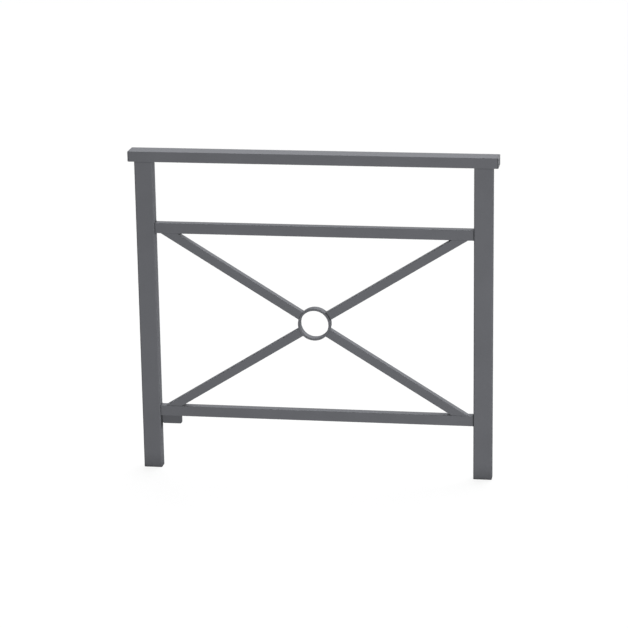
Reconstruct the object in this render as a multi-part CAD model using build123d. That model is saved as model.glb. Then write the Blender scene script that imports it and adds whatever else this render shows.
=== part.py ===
from build123d import *
import os

# Street barrier of welded rectangular steel tube, in millimetres: two posts under a wide handrail,
# a middle and a lower rail, and between them a diagonal cross whose four arms meet a ring.
# The origin is the centre of the left post's foot, at ground level. X runs along the barrier to
# the right post, Y points away from the front and Z points up.

# Overall sizes
HEIGHT = 1000.0            # ground to the top of the handrail
POST_SPACING = 1022.5      # between the centres of the posts
MIDDLE_RAIL_Z = 761.6      # centre line of the middle rail above ground
LOWER_RAIL_Z = 183.2       # centre line of the lower rail above ground

# Posts, open at the foot
POST_WIDTH = 56.1
POST_DEPTH = 36.8
POST_WALL = 2.5
POST_CORNER = 3.8

# Handrail, the flat tube across the tops of the posts
HANDRAIL_HEIGHT = 31.4
HANDRAIL_DEPTH = 62.0
HANDRAIL_WALL = 2.5
HANDRAIL_CORNER = 1.5
HANDRAIL_OVERHANG = 16.5   # from the post's outer face to the end of the cap

# Caps pressed into the ends of the handrail
CAP_FLANGE = 3.0           # thickness of the flange outside the tube
CAP_EDGE = 1.2             # rounding of the flange's outer rim
CAP_SEAM = 1.0             # bevel of the rim that meets the tube
CAP_SKIRT = 14.0           # how far the skirt reaches into the tube
CAP_SKIRT_WALL = 2.0
CAP_CLEARANCE = 0.2        # between the skirt and the inside of the tube

# Middle and lower rail, the same tube
RAIL_HEIGHT = 31.6
RAIL_DEPTH = 27.5
RAIL_WALL = 2.0
RAIL_CORNER = 1.2

# Four arms of the cross
ARM_WIDTH = 26.0
ARM_DEPTH = 24.5
ARM_WALL = 2.0
ARM_CORNER = 1.0
ARM_SETBACK = 42.0         # along the rail, from the post's inner face to the arm's centre line

# Ring at the crossing
RING_DIAMETER = 99.7
RING_WALL = 6.5
RING_DEPTH = 27.5
RING_EDGE = 0.8            # bevel of its rims
RING_GAP = 0.2             # weld gap between the ring and the coped end of an arm

# Rounded lug under the lower rail, against the left post
LUG_WIDTH = 63.0
LUG_DROP = 30.4
LUG_THICKNESS = 6.0
LUG_INSET = 4.75           # from the back of the rail to the back of the lug
LUG_CORNER = 7.5
LUG_EDGE = 1.2             # bevel round its front and back

# Limits on roundings, so that each stays within its own wall
SHARPEST_CORNER = 0.5      # inside corner of a tube whose wall is thicker than its outer corner
CORNER_SHARE = 0.49        # largest corner, as a share of the side that it rounds
EDGE_SHARE = 0.4           # largest edge rounding, as a share of the thickness that it rounds

# Levels and faces that several pieces share
HANDRAIL_UNDERSIDE = HEIGHT - HANDRAIL_HEIGHT
MIDDLE_RAIL_UNDERSIDE = MIDDLE_RAIL_Z - RAIL_HEIGHT / 2
LOWER_RAIL_TOP = LOWER_RAIL_Z + RAIL_HEIGHT / 2
LOWER_RAIL_UNDERSIDE = LOWER_RAIL_Z - RAIL_HEIGHT / 2
BAY_LEFT = POST_WIDTH / 2
BAY_RIGHT = POST_SPACING - POST_WIDTH / 2
BAY_CENTRE = Vector(POST_SPACING / 2, 0, (MIDDLE_RAIL_UNDERSIDE + LOWER_RAIL_TOP) / 2)


def rounded(width, depth, corner):
    """Rounded rectangle about the origin, with a corner that its own size leaves room for."""
    radius = min(corner, CORNER_SHARE * width, CORNER_SHARE * depth)
    return RectangleRounded(width, depth, radius)


def tube_section(width, depth, wall, corner):
    """Section of a rectangular tube with an even wall round its corners."""
    inside_corner = max(corner - wall, SHARPEST_CORNER)
    return rounded(width, depth, corner) - rounded(width - 2 * wall, depth - 2 * wall, inside_corner)


def run(section, start, end, side):
    """Extrude a section from start to end. The section's own X lies along side."""
    path = end - start
    return extrude(Plane(origin=start, x_dir=side, z_dir=path) * section, path.length, dir=path)


def make_post(x):
    section = tube_section(POST_WIDTH, POST_DEPTH, POST_WALL, POST_CORNER)
    return run(section, Vector(x, 0, 0), Vector(x, 0, HANDRAIL_UNDERSIDE), Vector(1, 0, 0))


def make_rail(z):
    section = tube_section(RAIL_DEPTH, RAIL_HEIGHT, RAIL_WALL, RAIL_CORNER)
    return run(section, Vector(BAY_LEFT, 0, z), Vector(BAY_RIGHT, 0, z), Vector(0, 1, 0))


def handrail_end(side):
    """Where the handrail's tube stops at one end, -1 for the left and 1 for the right."""
    reach = POST_WIDTH / 2 + HANDRAIL_OVERHANG - CAP_FLANGE
    post = 0 if side < 0 else POST_SPACING
    return Vector(post + side * reach, 0, HEIGHT - HANDRAIL_HEIGHT / 2)


def make_handrail():
    section = tube_section(HANDRAIL_DEPTH, HANDRAIL_HEIGHT, HANDRAIL_WALL, HANDRAIL_CORNER)
    return run(section, handrail_end(-1), handrail_end(1), Vector(0, 1, 0))


def make_cap(side):
    """Cap with a rounded flange over the tube's end and a thin skirt inside the tube."""
    seat = handrail_end(side)
    outward = Vector(side, 0, 0)
    across = Vector(0, 1, 0)
    outline = rounded(HANDRAIL_DEPTH, HANDRAIL_HEIGHT, HANDRAIL_CORNER)
    flange = run(outline, seat, seat + outward * CAP_FLANGE, across)
    outer_face = flange.faces().sort_by(Axis((0, 0, 0), outward))[-1]
    flange = fillet(outer_face.edges(), min(CAP_EDGE, EDGE_SHARE * CAP_FLANGE))
    inner_face = flange.faces().sort_by(Axis((0, 0, 0), outward))[0]
    flange = chamfer(inner_face.edges(), min(CAP_SEAM, EDGE_SHARE * CAP_FLANGE))
    inset = HANDRAIL_WALL + CAP_CLEARANCE
    skirt_depth = HANDRAIL_DEPTH - 2 * inset
    skirt_height = HANDRAIL_HEIGHT - 2 * inset
    skirt_corner = max(HANDRAIL_CORNER - inset, SHARPEST_CORNER)
    skirt_section = tube_section(skirt_depth, skirt_height, CAP_SKIRT_WALL, skirt_corner)
    skirt = run(skirt_section, seat, seat - outward * CAP_SKIRT, across)
    return flange + skirt


def make_arm(side, level):
    """Arm from the ring to a corner of the bay: mitred flat on the rail, coped to the ring's outside."""
    rail_z = MIDDLE_RAIL_UNDERSIDE if level > 0 else LOWER_RAIL_TOP
    post_x = BAY_RIGHT if side > 0 else BAY_LEFT
    corner = Vector(post_x - side * ARM_SETBACK, 0, rail_z)
    axis = (corner - BAY_CENTRE).normalized()
    section = tube_section(ARM_DEPTH, ARM_WIDTH, ARM_WALL, ARM_CORNER)
    mitre_reach = ARM_WIDTH * abs(axis.X / axis.Z)
    overlong = run(section, BAY_CENTRE, corner + axis * mitre_reach, Vector(0, 1, 0))
    bay_height = MIDDLE_RAIL_UNDERSIDE - LOWER_RAIL_TOP
    bay = Pos(*BAY_CENTRE) * Box(BAY_RIGHT - BAY_LEFT, 2 * ARM_DEPTH, bay_height)
    cope = Pos(*BAY_CENTRE) * Rot(90, 0, 0) * Cylinder(RING_DIAMETER / 2 + RING_GAP, 2 * ARM_DEPTH)
    return (overlong & bay) - cope


def make_ring():
    blank = Cylinder(RING_DIAMETER / 2, RING_DEPTH) - Cylinder(RING_DIAMETER / 2 - RING_WALL, RING_DEPTH)
    ring = chamfer(blank.edges().filter_by(GeomType.CIRCLE), min(RING_EDGE, EDGE_SHARE * RING_WALL))
    return Pos(*BAY_CENTRE) * Rot(90, 0, 0) * ring


def make_lug():
    """Plate under the flat of the lower rail, its left end against the post."""
    back = RAIL_DEPTH / 2 - LUG_INSET
    centre = Vector(BAY_LEFT + LUG_WIDTH / 2, back, LOWER_RAIL_UNDERSIDE - LUG_DROP / 2)
    front = centre - Vector(0, LUG_THICKNESS, 0)
    plate = run(rounded(LUG_WIDTH, LUG_DROP, LUG_CORNER), centre, front, Vector(1, 0, 0))
    return chamfer(plate.faces().filter_by(Axis.Y).edges(), min(LUG_EDGE, EDGE_SHARE * LUG_THICKNESS))


pieces = {
    "left_post": make_post(0),
    "right_post": make_post(POST_SPACING),
    "handrail": make_handrail(),
    "handrail_cap_left": make_cap(-1),
    "handrail_cap_right": make_cap(1),
    "middle_rail": make_rail(MIDDLE_RAIL_Z),
    "lower_rail": make_rail(LOWER_RAIL_Z),
    "arm_upper_left": make_arm(-1, 1),
    "arm_upper_right": make_arm(1, 1),
    "arm_lower_left": make_arm(-1, -1),
    "arm_lower_right": make_arm(1, -1),
    "centre_ring": make_ring(),
    "fixing_lug": make_lug(),
}

os.makedirs("parts", exist_ok=True)
for name, shape in pieces.items():
    export_step(shape, f"parts/{name}.step")
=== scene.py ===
import math

import bmesh
import bpy
from mathutils import Matrix, Vector, noise


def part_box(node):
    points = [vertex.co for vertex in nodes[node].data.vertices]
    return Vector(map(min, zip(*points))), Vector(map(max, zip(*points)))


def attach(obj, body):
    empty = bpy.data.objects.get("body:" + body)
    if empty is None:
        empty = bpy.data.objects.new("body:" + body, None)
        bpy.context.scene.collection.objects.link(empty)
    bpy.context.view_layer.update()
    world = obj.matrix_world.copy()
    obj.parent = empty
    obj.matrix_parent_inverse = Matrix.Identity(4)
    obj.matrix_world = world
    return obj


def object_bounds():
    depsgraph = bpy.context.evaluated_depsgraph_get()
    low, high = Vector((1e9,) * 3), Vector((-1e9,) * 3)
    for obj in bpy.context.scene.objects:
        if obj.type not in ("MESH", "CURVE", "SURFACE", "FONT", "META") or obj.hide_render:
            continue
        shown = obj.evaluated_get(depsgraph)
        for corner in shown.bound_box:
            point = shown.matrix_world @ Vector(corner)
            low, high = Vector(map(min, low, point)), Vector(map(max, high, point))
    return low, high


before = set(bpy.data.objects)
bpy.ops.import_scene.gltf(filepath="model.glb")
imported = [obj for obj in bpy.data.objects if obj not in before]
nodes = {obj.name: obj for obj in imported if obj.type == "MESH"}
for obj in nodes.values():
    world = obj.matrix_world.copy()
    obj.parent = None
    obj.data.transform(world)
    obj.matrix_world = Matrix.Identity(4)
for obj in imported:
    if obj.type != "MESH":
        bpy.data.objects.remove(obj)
cad_low, cad_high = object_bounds()
cad_middle = (cad_low + cad_high) / 2
scene = bpy.context.scene
scene.view_settings.view_transform = "Standard"

# Lengths are in metres and angles in radians

# Camera, fitted to the photograph's perspective
IMAGE_SIZE = 628
SENSOR_MM = 36.0
FOCAL_PIXELS = 2486.06
CAMERA_DISTANCE = 7.514
CAMERA_YAW = 0.1607            # stands to the right of the barrier's middle
CAMERA_PITCH = 0.2760          # looks down
CAMERA_ROLL = -0.0151
AIM_PIXELS = (0.693, 0.835)    # how far the barrier's middle lies right of and below the picture's

# Light
AMBIENT = 0.07                 # strength with which the white surroundings light the barrier
FRONT_PLACE = Vector((2.63, -5.39, -0.1))    # from the barrier's middle
FRONT_AIM = Vector((-1.15, 0.0, 0.0))        # past the left post, so that it is not much darker
FRONT_SPREAD = math.radians(100)
FRONT_SIZE = (2.6, 0.76)
FRONT_WATTS = 107.0
TOP_DIRECTION = Vector((0.25, 1.00, 1.0))    # towards both lamps above
TOP_ANGLE = 1.1                # how broad they are in the sky, which softens the shadows
TOP_STRENGTH = 2.40            # of the one that casts shadows
FILL_STRENGTH = 3.53           # of the one that casts none
STRIP_HEIGHT = 2.0             # above the handrail
STRIP_SIZE = (1.8, 0.16)
STRIP_WATTS = 16.4

# Floor
FLOOR_REACH = 40.0
FLOOR_DROP = 0.0005            # keeps the feet clear of the floor
FLOOR_COLOUR = (0.16, 0.16, 0.16, 1.0)
FLOOR_WHITE = 0.783            # glow that lifts the floor to white for the camera

# Powder coat
PAINT_COLOUR = (0.128, 0.131, 0.142)
PAINT_ROUGHNESS = (0.74, 0.84)
PAINT_SPECULAR = 0.03
NOISE_RANGE = (0.3, 0.7)       # where most values of a noise pattern lie
MOTTLE = 0.040                 # share by which broad patches differ
MOTTLE_SCALE = 9.0             # patches in a metre
MOTTLE_DETAIL = 8.0
SPECKLE = 0.09                 # share by which single grains differ
GRAIN_SCALE = 1300.0           # grains in a metre
GRAIN_DETAIL = 2.0
GRAIN_HEIGHT = 0.00003
PEEL_SCALE = 260.0             # ripples of the flowed coat in a metre
PEEL_DETAIL = 1.0
PEEL_HEIGHT = 0.00010

# Dirt and painted shade, where a shade is the share of the colour that is left
CORNER_SHADE_REACH = 0.008            # how far from a corner the painted shade reaches
CORNER_SHADE = 0.45
CORNER_SHADE_OPEN = (0.45, 0.95)      # openness of a corner from full painted shade to none
CORNER_SHADE_SAMPLES = 12
FOOT_HEIGHT = 0.052            # top of the darkening
FOOT_RAGGED = 0.012            # how far that top wanders up and down
FOOT_SCALE = 72.0              # bumps of that ragged top in a metre
FOOT_DETAIL = 3.0
FOOT_SHADE = 0.68
FOOT_FALL = 1.5                # how fast it fades upwards
LUG_PAINTED_SHADE = 0.78               # painted shade on the lug, which sits sheltered under the rail
LUG_PAINTED_SHADE_REACH = 0.004
SEAM_SHADE = 0.32              # dark seams between the rails and the posts, deepened with painted shade
STAIN_SHADE = 0.45             # dirt on the upper right arm, along the ring
STAIN_CORE = 0.0025            # full up to here
STAIN_REACH = 0.0055           # gone from here
POST_SHADOW_SHADE = 0.30        # painted shadow of the lug on the left post
POST_SHADOW_CORE = 0.008
POST_SHADOW_REACH = 0.020

# Moulded caps
CAP_COLOUR = (0.130, 0.133, 0.142)
CAP_ROUGHNESS = (0.62, 0.70)
CAP_SPECULAR = 0.08
CAP_SPECKLE = 0.03
CAP_GRAIN_SCALE = 2600.0
CAP_GRAIN_HEIGHT = 0.000015
CAP_GROOVE_REACH = 0.003        # painted shade in the groove between a cap and the tube
CAP_GROOVE_SHADE = 0.20
CAP_GROOVE_OPEN = (0.55, 0.97)

# Weld beads
WELD_FACE = 0.0022             # width of a bead's face
WELD_CROWN = 0.0003            # bulge of that face
WELD_SINK = 0.0003             # how far a bead's edges reach into the tubes
WELD_STEP = 0.0008             # between the rings of points along a bead
WELD_SPANS = 5                 # faces across a bead
WELD_TAPER = 0.004             # run-out at the ends of an open bead
RIPPLE = 0.07                  # share by which a bead swells in step with its ripples
RIPPLE_PITCH = 0.0034
WOBBLE = 0.10                  # share by which it is uneven
WOBBLE_SCALE = 90.0
SHARP_ANGLE = math.radians(50)
TUBE_CORNERS = {"post": 0.0038, "rail": 0.0012, "arm": 0.0010}    # as the CAD rounds them
LUG_ROUND = 0.0075             # likewise
SAME_PLACE = 0.00001           # points that differ by less are level

ACROSS = Vector((1, 0, 0))
BACK = Vector((0, 1, 0))
UP = Vector((0, 0, 1))
QUARTER_TURN = math.pi / 2


def make_camera():
    ahead = Vector((-math.sin(CAMERA_YAW), math.cos(CAMERA_YAW), 0))
    side = Vector((math.cos(CAMERA_YAW), math.sin(CAMERA_YAW), 0))
    look = math.cos(CAMERA_PITCH) * ahead - math.sin(CAMERA_PITCH) * UP
    head = math.sin(CAMERA_PITCH) * ahead + math.cos(CAMERA_PITCH) * UP
    right = math.cos(CAMERA_ROLL) * side + math.sin(CAMERA_ROLL) * head
    top = math.cos(CAMERA_ROLL) * head - math.sin(CAMERA_ROLL) * side
    metres_per_pixel = CAMERA_DISTANCE / FOCAL_PIXELS
    place = cad_middle - look * CAMERA_DISTANCE
    place += (top * AIM_PIXELS[1] - right * AIM_PIXELS[0]) * metres_per_pixel
    data = bpy.data.cameras.new("camera")
    data.sensor_width = SENSOR_MM
    data.lens = FOCAL_PIXELS / IMAGE_SIZE * SENSOR_MM
    camera = bpy.data.objects.new("camera", data)
    axes = Matrix((right, top, -look)).transposed()
    camera.matrix_world = Matrix.Translation(place) @ axes.to_4x4()
    scene.collection.objects.link(camera)
    scene.camera = camera


def add_node(tree, kind, inputs, **settings):
    """New shader node. An input that is given a socket is linked to it, and any other input is set."""
    made = tree.nodes.new(kind)
    for key, value in settings.items():
        setattr(made, key, value)
    for key, value in inputs.items():
        if isinstance(value, bpy.types.NodeSocket):
            tree.links.new(value, made.inputs[key])
        else:
            made.inputs[key].default_value = value
    return made


def calculate(tree, operation, first, second):
    return add_node(tree, "ShaderNodeMath", {0: first, 1: second}, operation=operation).outputs[0]


def calculate_vector(tree, operation, *vectors):
    inputs = dict(enumerate(vectors))
    made = add_node(tree, "ShaderNodeVectorMath", inputs, operation=operation)
    return made.outputs["Value" if operation == "LENGTH" else "Vector"]


def spread(tree, value, low, high, from_low=0.0, from_high=1.0):
    """Map a value's range onto the range from low to high."""
    inputs = {"Value": value, "From Min": from_low, "From Max": from_high, "To Min": low, "To Max": high}
    return add_node(tree, "ShaderNodeMapRange", inputs).outputs[0]


def grain(tree, place, scale, detail):
    inputs = {"Vector": place, "Scale": scale, "Detail": detail}
    return add_node(tree, "ShaderNodeTexNoise", inputs).outputs[0]


def vary(tree, pattern, share):
    """Shade that a noise pattern moves up and down by a share."""
    return spread(tree, pattern, 1 - share, 1 + share, *NOISE_RANGE)


def shows_background(tree):
    """1 for the rays that show the background: from the camera, in gloss and through glass."""
    path = tree.nodes.new("ShaderNodeLightPath").outputs
    seen = calculate(tree, "MAXIMUM", path["Is Camera Ray"], path["Is Glossy Ray"])
    return calculate(tree, "MAXIMUM", seen, path["Is Transmission Ray"])


def make_world():
    world = bpy.data.worlds.new("studio")
    world.use_nodes = True
    tree = world.node_tree
    background = tree.nodes["Background"]
    background.inputs["Color"].default_value = (1, 1, 1, 1)
    strength = spread(tree, shows_background(tree), AMBIENT, 1.0)
    tree.links.new(strength, background.inputs["Strength"])
    scene.world = world


def place_light(name, kind, energy, towards):
    """Lamp whose light leaves it in the direction opposite to towards."""
    data = bpy.data.lights.new(name, kind)
    data.energy = energy
    lamp = bpy.data.objects.new(name, data)
    lamp.rotation_euler = towards.to_track_quat("Z", "Y").to_euler()
    scene.collection.objects.link(lamp)
    return lamp


def make_panel(name, place, towards, size, watts):
    lamp = place_light(name, "AREA", watts, towards)
    lamp.location = place
    lamp.data.shape = "RECTANGLE"
    lamp.data.size, lamp.data.size_y = size
    return lamp


def make_lights():
    front_place = cad_middle + FRONT_PLACE
    front = make_panel("front_panel", front_place, FRONT_PLACE - FRONT_AIM, FRONT_SIZE, FRONT_WATTS)
    front.data.spread = FRONT_SPREAD
    above = Vector((cad_middle.x, cad_middle.y, cad_high.z + STRIP_HEIGHT))
    make_panel("strip", above, UP, STRIP_SIZE, STRIP_WATTS)
    top = place_light("top_light", "SUN", TOP_STRENGTH, TOP_DIRECTION)
    fill = place_light("top_fill", "SUN", FILL_STRENGTH, TOP_DIRECTION)
    top.data.angle = fill.data.angle = TOP_ANGLE
    fill.data.use_shadow = False


def make_floor():
    level = cad_low.z - FLOOR_DROP
    signs = ((-1, -1), (1, -1), (1, 1), (-1, 1))
    corners = [(cad_middle.x + x * FLOOR_REACH, cad_middle.y + y * FLOOR_REACH, level) for x, y in signs]
    mesh = bpy.data.meshes.new("floor")
    mesh.from_pydata(corners, [], [(0, 1, 2, 3)])
    material = bpy.data.materials.new("floor")
    material.use_nodes = True
    tree = material.node_tree
    tree.nodes.clear()
    matt = add_node(tree, "ShaderNodeBsdfDiffuse", {"Color": FLOOR_COLOUR})
    strength = spread(tree, shows_background(tree), 0.0, FLOOR_WHITE)
    glow = add_node(tree, "ShaderNodeEmission", {"Strength": strength})
    both = add_node(tree, "ShaderNodeAddShader", {0: matt.outputs[0], 1: glow.outputs[0]})
    add_node(tree, "ShaderNodeOutputMaterial", {"Surface": both.outputs[0]})
    mesh.materials.append(material)
    floor = bpy.data.objects.new("floor", mesh)
    scene.collection.objects.link(floor)


def new_material(name, specular):
    """Material with its tree, its shader and the place on the surface in metres."""
    material = bpy.data.materials.new(name)
    material.use_nodes = True
    tree = material.node_tree
    shader = tree.nodes["Principled BSDF"]
    shader.inputs["Specular IOR Level"].default_value = specular
    place = tree.nodes.new("ShaderNodeTexCoord").outputs["Object"]
    return material, tree, shader, place


def corner_painted_shade(tree, reach, shade, open_range):
    """Painted shade that darkens corners and the places where pieces meet, by their openness."""
    inputs = {"Distance": reach}
    corner = add_node(tree, "ShaderNodeAmbientOcclusion", inputs, samples=CORNER_SHADE_SAMPLES)
    return spread(tree, corner.outputs["AO"], shade, 1.0, *open_range)


def foot_darkening(tree, place):
    """Darker towards the bottom, up to a ragged height above the ground."""
    height = add_node(tree, "ShaderNodeSeparateXYZ", {"Vector": place}).outputs["Z"]
    ragged = spread(tree, grain(tree, place, FOOT_SCALE, FOOT_DETAIL), -FOOT_RAGGED, FOOT_RAGGED)
    nearness = spread(tree, calculate(tree, "ADD", height, ragged), 1.0, 0.0, 0.0, FOOT_HEIGHT)
    return spread(tree, calculate(tree, "POWER", nearness, FOOT_FALL), 1.0, FOOT_SHADE)


def ring_stain(tree, place):
    """Shade of the dirt along a joint with the ring."""
    low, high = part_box("centre_ring")
    radius = (high.x - low.x) / 2
    offset = calculate_vector(tree, "SUBTRACT", place, (low + high) / 2)
    flat = calculate_vector(tree, "MULTIPLY", offset, ACROSS + UP)
    distance = calculate_vector(tree, "LENGTH", flat)
    return spread(tree, distance, STAIN_SHADE, 1.0, radius + STAIN_CORE, radius + STAIN_REACH)


def painted_lug_shadow(tree, place):
    """Painted shadow of the lug on the post, by the distance from the lug's box."""
    low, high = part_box("fixing_lug")
    offset = calculate_vector(tree, "SUBTRACT", place, (low + high) / 2)
    size = calculate_vector(tree, "ABSOLUTE", offset)
    excess = calculate_vector(tree, "SUBTRACT", size, (high - low) / 2)
    outside = calculate_vector(tree, "MAXIMUM", excess, (0, 0, 0))
    distance = calculate_vector(tree, "LENGTH", outside)
    return spread(tree, distance, POST_SHADOW_SHADE, 1.0, POST_SHADOW_CORE, POST_SHADOW_REACH)


def shade_colour(tree, shader, colour, shades):
    """Multiply a colour by every shade in turn and give it to the shader."""
    total = shades[0]
    for shade in shades[1:]:
        total = calculate(tree, "MULTIPLY", total, shade)
    tinted = add_node(tree, "ShaderNodeVectorMath", {0: colour, "Scale": total}, operation="SCALE")
    tree.links.new(tinted.outputs["Vector"], shader.inputs["Base Color"])


def bump(tree, height, distance, normal=None):
    inputs = {"Height": height, "Distance": distance}
    if normal:
        inputs["Normal"] = normal
    return add_node(tree, "ShaderNodeBump", inputs).outputs["Normal"]


def powder_coat(name, shade=1.0, shade_reach=CORNER_SHADE_REACH, stain_or_shadow=None):
    """Grained and mottled coat, darkened as a whole by shade, with painted shade in its corners, darker
    towards the ground, and with a stain or a painted shadow where one is given.
    """
    material, tree, shader, place = new_material(name, PAINT_SPECULAR)
    patches = grain(tree, place, MOTTLE_SCALE, MOTTLE_DETAIL)
    grains = grain(tree, place, GRAIN_SCALE, GRAIN_DETAIL)
    peel = grain(tree, place, PEEL_SCALE, PEEL_DETAIL)
    shades = [vary(tree, patches, MOTTLE), vary(tree, grains, SPECKLE)]
    # painted shade in the corners and where pieces meet
    shades.append(corner_painted_shade(tree, shade_reach, CORNER_SHADE, CORNER_SHADE_OPEN))
    # darker towards the bottom
    shades.append(foot_darkening(tree, place))
    if stain_or_shadow:
        shades.append(stain_or_shadow(tree, place))
    shade_colour(tree, shader, [shade * part for part in PAINT_COLOUR], shades)
    roughness = spread(tree, patches, *PAINT_ROUGHNESS, *NOISE_RANGE)
    tree.links.new(roughness, shader.inputs["Roughness"])
    coat = bump(tree, grains, GRAIN_HEIGHT, bump(tree, peel, PEEL_HEIGHT))
    tree.links.new(coat, shader.inputs["Normal"])
    return material


def moulded_cap():
    """Plastic with a finer grain than the coat's and painted shade in its groove."""
    material, tree, shader, place = new_material("moulded_cap", CAP_SPECULAR)
    grains = grain(tree, place, CAP_GRAIN_SCALE, GRAIN_DETAIL)
    # painted shade in the groove
    groove_shade = corner_painted_shade(tree, CAP_GROOVE_REACH, CAP_GROOVE_SHADE, CAP_GROOVE_OPEN)
    shade_colour(tree, shader, CAP_COLOUR, [vary(tree, grains, CAP_SPECKLE), groove_shade])
    roughness = spread(tree, grains, *CAP_ROUGHNESS, *NOISE_RANGE)
    tree.links.new(roughness, shader.inputs["Roughness"])
    tree.links.new(bump(tree, grains, CAP_GRAIN_HEIGHT), shader.inputs["Normal"])
    return material


def dress_nodes(coat):
    dressing = {name: coat for name in nodes}
    dressing["handrail_cap_left"] = dressing["handrail_cap_right"] = moulded_cap()
    # painted shade on the lug under the rail
    dressing["fixing_lug"] = powder_coat("powder_coat_lug_shade", LUG_PAINTED_SHADE, LUG_PAINTED_SHADE_REACH)
    dressing["arm_upper_right"] = powder_coat("powder_coat_stained", stain_or_shadow=ring_stain)
    # painted shadow of the lug on the left post
    dressing["left_post"] = powder_coat("powder_coat_post", stain_or_shadow=painted_lug_shadow)
    for name, material in dressing.items():
        nodes[name].data.materials.clear()
        nodes[name].data.materials.append(material)


def outline(width, depth, corner):
    """Points round a rounded rectangle, each with the direction that leads out of it."""
    reach = Vector((width / 2 - corner, depth / 2 - corner))
    centres = [Vector((x * reach.x, y * reach.y)) for x, y in ((1, 1), (-1, 1), (-1, -1), (1, -1))]
    arc_steps = max(2, round(corner * QUARTER_TURN / WELD_STEP))
    points = []
    for quarter, centre in enumerate(centres):
        for step in range(arc_steps):
            turn = (quarter + step / arc_steps) * QUARTER_TURN
            lead = Vector((math.cos(turn), math.sin(turn)))
            points.append((centre + lead * corner, lead))
        turn = (quarter + 1) * QUARTER_TURN
        lead = Vector((math.cos(turn), math.sin(turn)))
        start = centre + lead * corner
        end = centres[(quarter + 1) % len(centres)] + lead * corner
        run_steps = max(1, round((end - start).length / WELD_STEP))
        points += [(start.lerp(end, step / run_steps), lead) for step in range(run_steps)]
    return points


def square_path(seat, first, second, away, size, corner):
    """Joint of a tube that stands square on a face: points, each with the tube's and the face's normal."""
    path = []
    for spot, lead in outline(*size, corner):
        point = seat + first * spot.x + second * spot.y
        path.append((point, first * lead.x + second * lead.y, away))
    return path


def straight_path(start, end, tube_normal, seat_normal):
    """Joint along one straight edge, in the same form."""
    steps = round((end - start).length / WELD_STEP)
    return [(start.lerp(end, step / steps), tube_normal, seat_normal) for step in range(steps + 1)]


def read_arm(name, centre):
    """Direction of an arm from the ring's centre, its seat on the rail and its width and depth."""
    low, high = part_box(name)
    seat_z = high.z if "upper" in name else low.z
    corners = [vertex.co for vertex in nodes[name].data.vertices]
    reach = [spot.x for spot in corners if abs(spot.z - seat_z) < SAME_PLACE]
    seat = Vector(((min(reach) + max(reach)) / 2, centre.y, seat_z))
    axis = (seat - centre).normalized()
    width = (max(reach) - min(reach)) * abs(axis.z)
    return axis, seat, width, high.y - low.y


def bead_section(point, tube_normal, seat_normal, size):
    """Closed section of a bead: its root inside the joint, then its face from the seat to the tube."""
    run = tube_normal.cross(seat_normal).normalized()
    out = seat_normal.cross(run)
    rise = run.cross(tube_normal)
    leg = WELD_FACE * size / (out - rise).length
    middle = (out + rise).normalized()
    section = [point - middle * WELD_SINK]
    for span in range(WELD_SPANS + 1):
        share = span / WELD_SPANS
        bulge = 4 * share * (1 - share)    # 0 at the face's edges and 1 in its middle
        crown = bulge * (WELD_CROWN * size + WELD_SINK) - WELD_SINK
        section.append(point + leg * ((1 - share) * out + share * rise) + middle * crown)
    return section


def bead_sizes(path, closed):
    """Relative size of a bead at each point of its path, with ripples and some unevenness."""
    points = [point for point, tube_normal, seat_normal in path]
    travelled = [0.0]
    for one, two in zip(points, points[1:]):
        travelled.append(travelled[-1] + (two - one).length)
    ripples = round(travelled[-1] / RIPPLE_PITCH)
    sizes = []
    for point, distance in zip(points, travelled):
        wave = math.sin(2 * math.pi * ripples * distance / travelled[-1])
        size = 1 + RIPPLE * wave + WOBBLE * noise.noise(point * WOBBLE_SCALE)
        if not closed:
            to_end = min(distance, travelled[-1] - distance)
            size *= math.sqrt(min(1.0, (to_end + WELD_STEP) / WELD_TAPER))
        sizes.append(size)
    return sizes


def make_weld(name, path, coat, closed=True):
    form = bmesh.new()
    rings = []
    for joint, size in zip(path, bead_sizes(path, closed)):
        rings.append([form.verts.new(spot) for spot in bead_section(*joint, size)])
    followers = rings[1:] + rings[:1] if closed else rings[1:]
    for ring, follower in zip(rings, followers):
        for k in range(len(ring)):
            form.faces.new((ring[k - 1], ring[k], follower[k], follower[k - 1]))
    if not closed:
        form.faces.new(rings[0])
        form.faces.new(rings[-1])
    bmesh.ops.recalc_face_normals(form, faces=form.faces)
    mesh = bpy.data.meshes.new(name)
    form.to_mesh(mesh)
    form.free()
    mesh.polygons.foreach_set("use_smooth", [True] * len(mesh.polygons))
    mesh.set_sharp_from_angle(angle=SHARP_ANGLE)
    mesh.materials.append(coat)
    piece = bpy.data.objects.new(name, mesh)
    scene.collection.objects.link(piece)
    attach(piece, "root")


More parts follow.
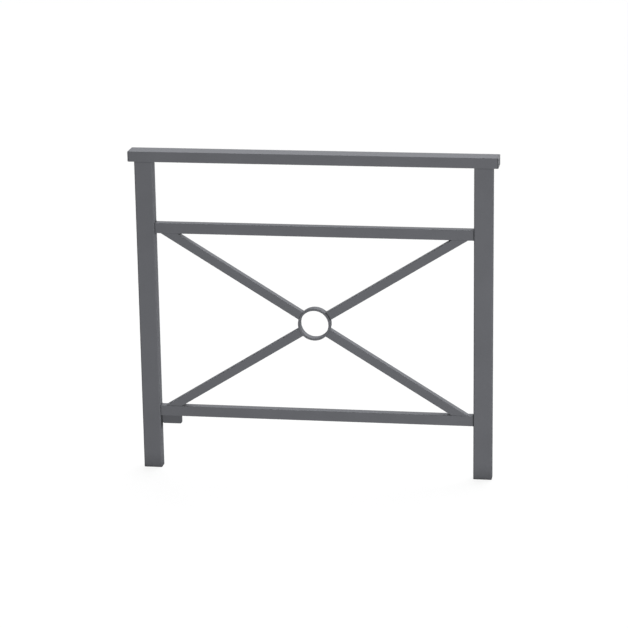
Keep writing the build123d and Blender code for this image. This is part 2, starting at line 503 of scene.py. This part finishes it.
def weld_posts(coat):
    for name in ("left_post", "right_post"):
        low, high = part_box(name)
        seat = Vector(((low.x + high.x) / 2, (low.y + high.y) / 2, high.z))
        size = (high.x - low.x, high.y - low.y)
        path = square_path(seat, ACROSS, BACK, -UP, size, TUBE_CORNERS["post"])
        make_weld(f"weld_{name}", path, coat)


def weld_rails(coat):
    for name in ("middle_rail", "lower_rail"):
        low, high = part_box(name)
        size = (high.y - low.y, high.z - low.z)
        for end, x, away in (("left", low.x, ACROSS), ("right", high.x, -ACROSS)):
            seat = Vector((x, (low.y + high.y) / 2, (low.z + high.z) / 2))
            path = square_path(seat, BACK, UP, away, size, TUBE_CORNERS["rail"])
            make_weld(f"weld_{name}_{end}", path, coat)


def weld_arms(coat):
    ring_low, ring_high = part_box("centre_ring")
    centre = (ring_low + ring_high) / 2
    radius = (ring_high.x - ring_low.x) / 2
    for name in ("arm_upper_left", "arm_upper_right", "arm_lower_left", "arm_lower_right"):
        axis, seat, width, depth = read_arm(name, centre)
        off_rail = -UP if axis.z > 0 else UP
        half_run = BACK * (depth / 2 - TUBE_CORNERS["arm"])
        for side, lead in (("one", axis.cross(BACK)), ("two", BACK.cross(axis))):
            edge = centre + lead * width / 2
            at_rail = edge + axis * ((seat.z - edge.z) / axis.z)
            at_ring = edge + axis * math.sqrt(radius ** 2 - (width / 2) ** 2)
            off_ring = (at_ring - centre).normalized()
            for end, spot, away in (("rail", at_rail, off_rail), ("ring", at_ring, off_ring)):
                path = straight_path(spot - half_run, spot + half_run, lead, away)
                make_weld(f"weld_{name}_{end}_{side}", path, coat, closed=False)


def weld_lug(coat):
    low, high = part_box("fixing_lug")
    for side, y, lead in (("front", low.y, -BACK), ("back", high.y, BACK)):
        start = Vector((low.x + LUG_ROUND, y, high.z))
        end = Vector((high.x - LUG_ROUND, y, high.z))
        path = straight_path(start, end, lead, -UP)
        make_weld(f"weld_fixing_lug_{side}", path, coat, closed=False)


make_camera()
make_world()
make_lights()
make_floor()
paint = powder_coat("powder_coat")
dress_nodes(paint)
weld_posts(paint)
# dark seams where the rails meet the posts, deepened with painted shade
weld_rails(powder_coat("powder_coat_seam", SEAM_SHADE))
weld_arms(paint)
weld_lug(paint)
